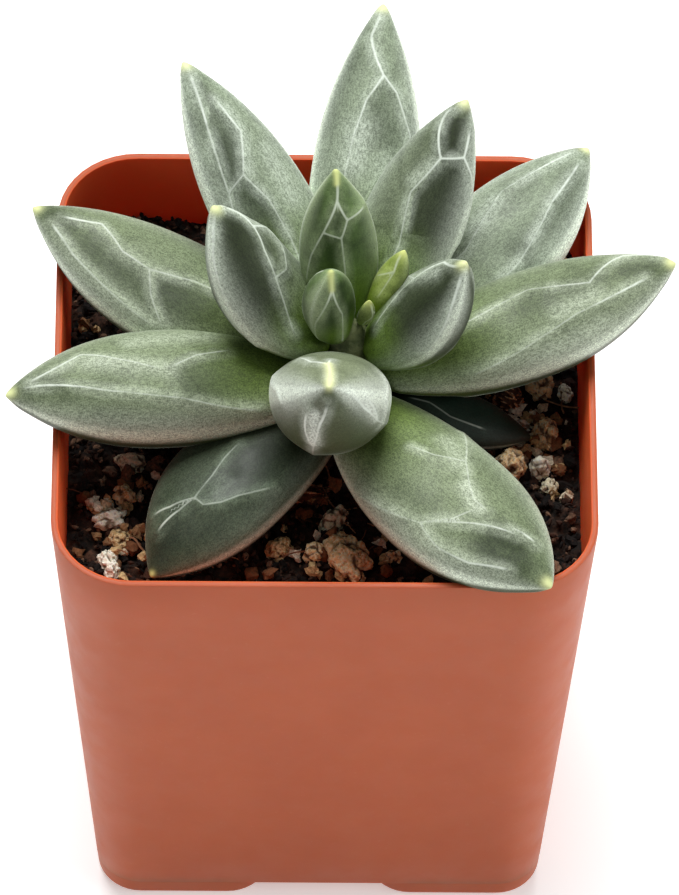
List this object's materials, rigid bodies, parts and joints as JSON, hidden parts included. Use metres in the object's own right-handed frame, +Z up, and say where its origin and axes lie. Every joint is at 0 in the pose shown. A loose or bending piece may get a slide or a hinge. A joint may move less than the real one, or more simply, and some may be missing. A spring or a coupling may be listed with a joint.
{
  "type": "potted succulent plant",
  "caption": "Small rosette of thick, pointed, faceted grey-green leaves in gritty dark soil, in a tapered square terracotta-coloured plastic pot with rounded corners.",
  "frame": {"origin": "on the standing plane under the pot's corner feet, at the middle of the whole plant's plan box, leaves included", "axes": "+Z up, +X to the right and +Y away from the viewer of the picture, with the pot's sides along X and Y"},
  "size_m": [0.0628, 0.0596, 0.0759],
  "materials": {
    "pot": "satin moulded plastic, terracotta coloured",
    "leaf": "matte living leaf, grey-green under a pale powdery bloom, fine pale lines along its facets",
    "stem": "matte green stem",
    "soil": "dark, crumbly, gritty mix",
    "pumice": "rough porous grains, tan to grey-white",
    "bark": "rough fibrous reddish chips"
  },
  "bodies": {
    "root": {"pot": "pot", "stem": "stem", "leaf_01_bud": "leaf", "leaf_02_inner_front": "leaf", "leaf_03_inner_right": "leaf", "leaf_04_upper_back": "leaf", "leaf_05_upper_right": "leaf", "leaf_06_upper_left": "leaf", "leaf_07_back_right": "leaf", "leaf_08_front": "leaf", "leaf_09_back_left": "leaf", "leaf_10_back": "leaf", "leaf_11_right": "leaf", "leaf_12_left": "leaf", "leaf_13_left_back": "leaf", "leaf_14_right_back": "leaf", "leaf_15_front_right": "leaf", "leaf_16_front_left": "leaf", "leaf_17_low_right": "leaf", "pumice_01": "pumice", "pumice_02": "pumice", "pumice_03": "pumice", "pumice_04": "pumice", "pumice_05": "pumice", "pumice_06": "pumice", "pumice_07": "pumice", "pumice_08": "pumice", "pumice_09": "pumice", "pumice_10": "pumice", "pumice_11": "pumice", "pumice_12": "pumice", "pumice_13": "pumice", "pumice_14": "pumice", "pumice_15": "pumice", "pumice_16": "pumice", "pumice_17": "pumice", "pumice_18": "pumice", "pumice_19": "pumice", "pumice_20": "pumice", "bark_01": "bark", "bark_02": "bark", "bark_03": "bark", "soil": "soil"}
  },
  "joints": []
}
